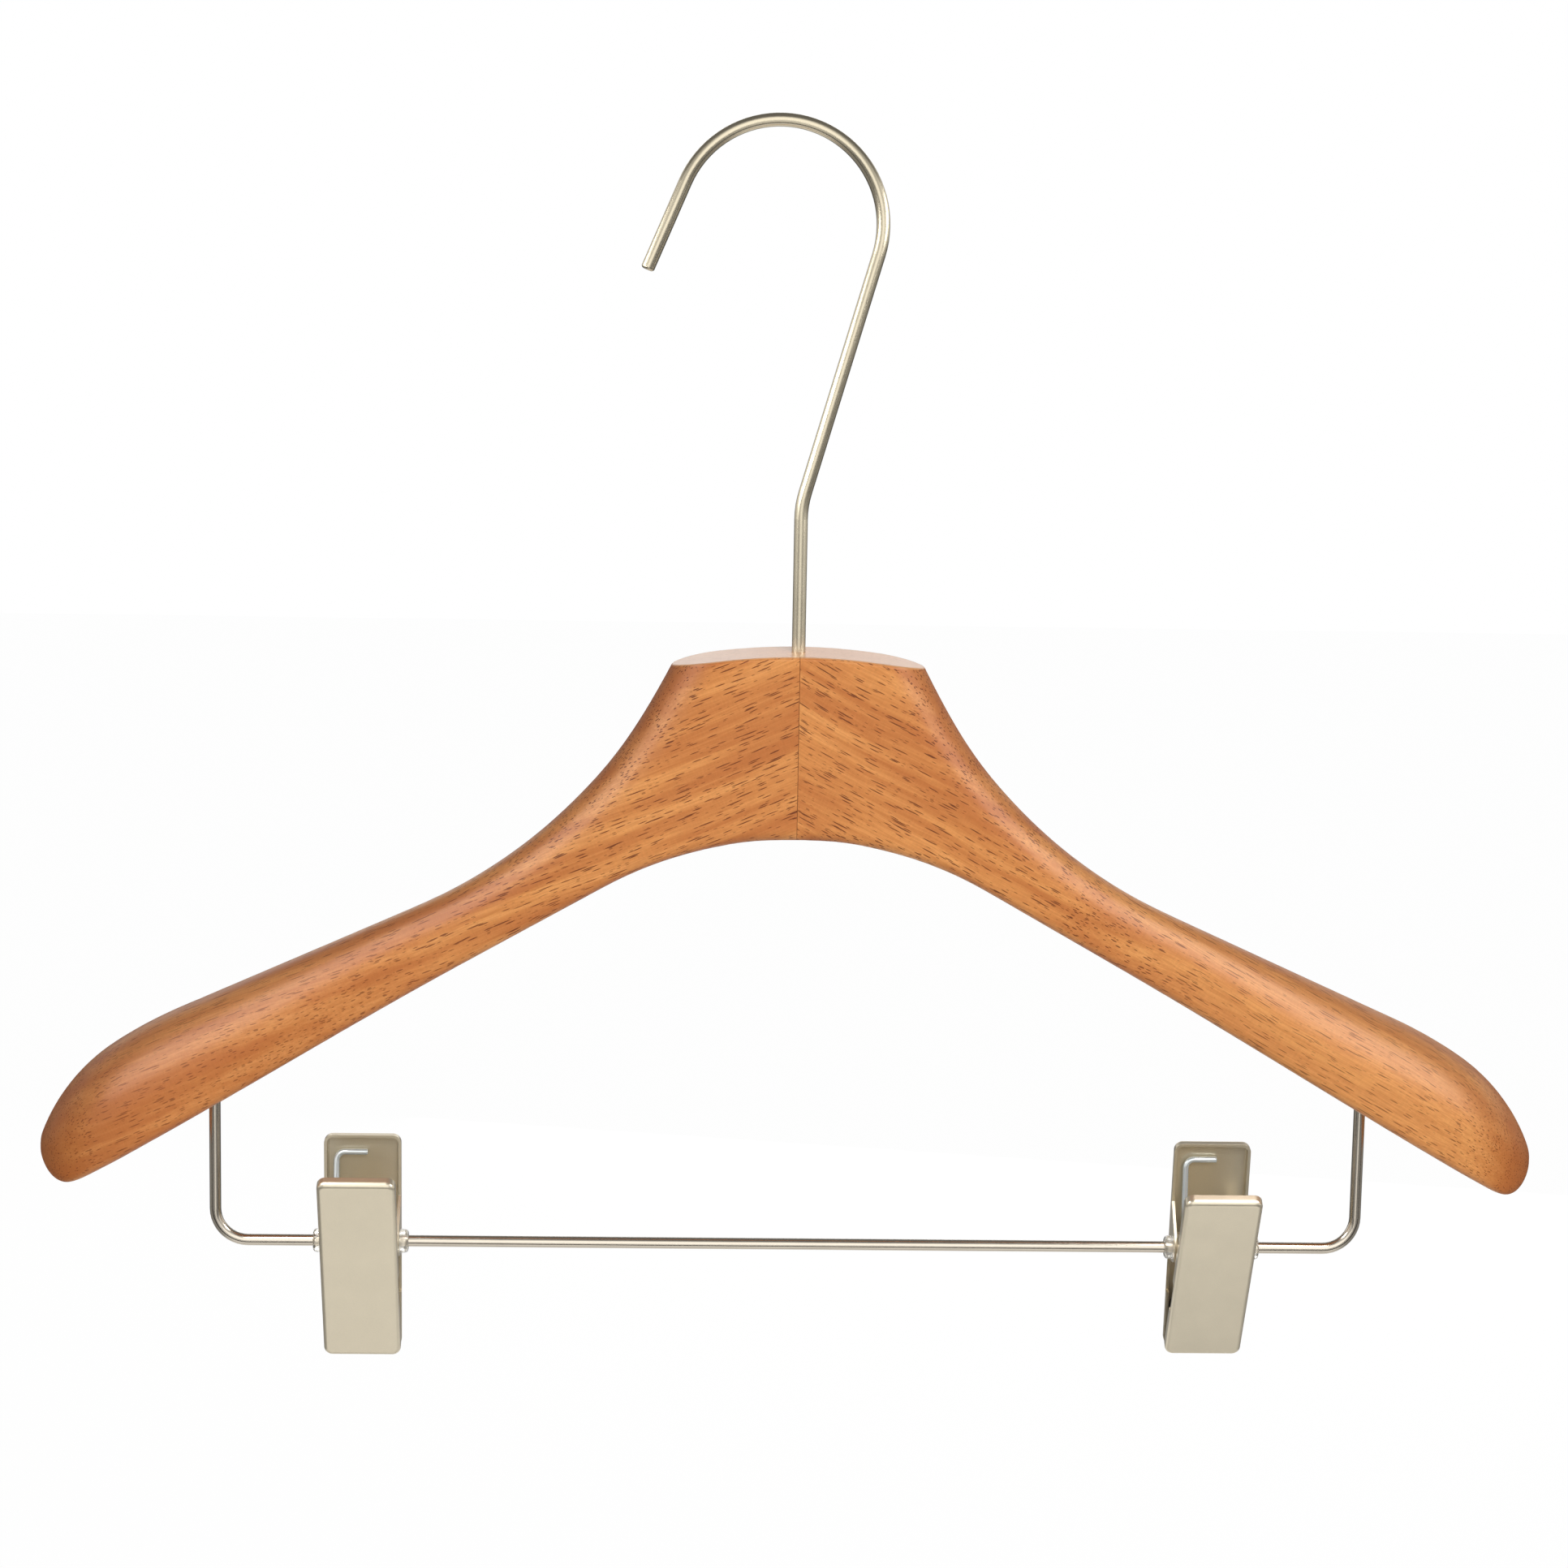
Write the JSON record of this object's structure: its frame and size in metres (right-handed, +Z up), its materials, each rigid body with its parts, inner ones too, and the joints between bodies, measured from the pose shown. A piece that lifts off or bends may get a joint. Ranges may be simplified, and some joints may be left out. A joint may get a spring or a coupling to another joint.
{
  "type": "skirt hanger",
  "caption": "Wooden skirt hanger with broad rounded arms, a swivelling wire hook, and a wire bar that carries sliding sprung metal clips.",
  "frame": {"origin": "on the hook's swivel axis, at the inside of the hook where a rail carries it", "axes": "+X along the hanger to the right, +Y from the front to the back, +Z up along the swivel axis"},
  "size_m": [0.391, 0.044, 0.3274],
  "materials": {
    "wood": "clear satin lacquer",
    "hook_steel": "satin nickel plate",
    "bar_steel": "satin nickel plate",
    "clip_steel": "satin nickel plate on pressed sheet",
    "spring_steel": "bright zinc plate",
    "clear_plastic": "clear moulded",
    "pad_rubber": "matt"
  },
  "bodies": {
    "hook": {"hook": "hook_steel"},
    "hanger": {"left_arm": "wood", "right_arm": "wood", "clip_bar": "bar_steel"},
    "left_clip_slider": {"left_clip_outer_bush": "clear_plastic", "left_clip_inner_bush": "clear_plastic"},
    "left_clip_rear": {"left_clip_rear_plate": "clip_steel", "left_clip_rear_pad": "pad_rubber", "left_clip_spring": "spring_steel"},
    "left_clip_front": {"left_clip_front_plate": "clip_steel", "left_clip_front_pad": "pad_rubber"},
    "right_clip_slider": {"right_clip_outer_bush": "clear_plastic", "right_clip_inner_bush": "clear_plastic"},
    "right_clip_rear": {"right_clip_rear_plate": "clip_steel", "right_clip_rear_pad": "pad_rubber", "right_clip_spring": "spring_steel"},
    "right_clip_front": {"right_clip_front_plate": "clip_steel", "right_clip_front_pad": "pad_rubber"}
  },
  "joints": [
    {"name": "hook_swivel", "type": "hinge", "parent": "hook", "child": "hanger", "pos_m": [0, 0, -0.13241], "axis": [0, 0, 1], "continuous": true},
    {"name": "left_clip_slide", "type": "slide", "parent": "hanger", "child": "left_clip_slider", "axis": [1, 0, 0], "range_m": [-0.0165, 0.099]},
    {"name": "left_clip_swing", "type": "hinge", "parent": "left_clip_slider", "child": "left_clip_rear", "pos_m": [-0.1124, 0, -0.29021], "axis": [1, 0, 0], "continuous": true},
    {"name": "left_jaw_open", "type": "hinge", "parent": "left_clip_rear", "child": "left_clip_front", "pos_m": [-0.1124, 0, -0.29021], "axis": [-1, 0, 0], "range_deg": [0, 46], "stiffness_Nm_per_rad": 0.44, "springref_deg": -28.65, "deforming": ["left_clip_spring"]},
    {"name": "right_clip_slide", "type": "slide", "parent": "hanger", "child": "right_clip_slider", "axis": [1, 0, 0], "range_m": [-0.099, 0.0165]},
    {"name": "right_clip_swing", "type": "hinge", "parent": "right_clip_slider", "child": "right_clip_rear", "pos_m": [0.1124, 0, -0.29021], "axis": [1, 0, 0], "continuous": true},
    {"name": "right_jaw_open", "type": "hinge", "parent": "right_clip_rear", "child": "right_clip_front", "pos_m": [0.1124, 0, -0.29021], "axis": [-1, 0, 0], "range_deg": [0, 46], "stiffness_Nm_per_rad": 0.44, "springref_deg": -28.65, "deforming": ["right_clip_spring"]}
  ]
}
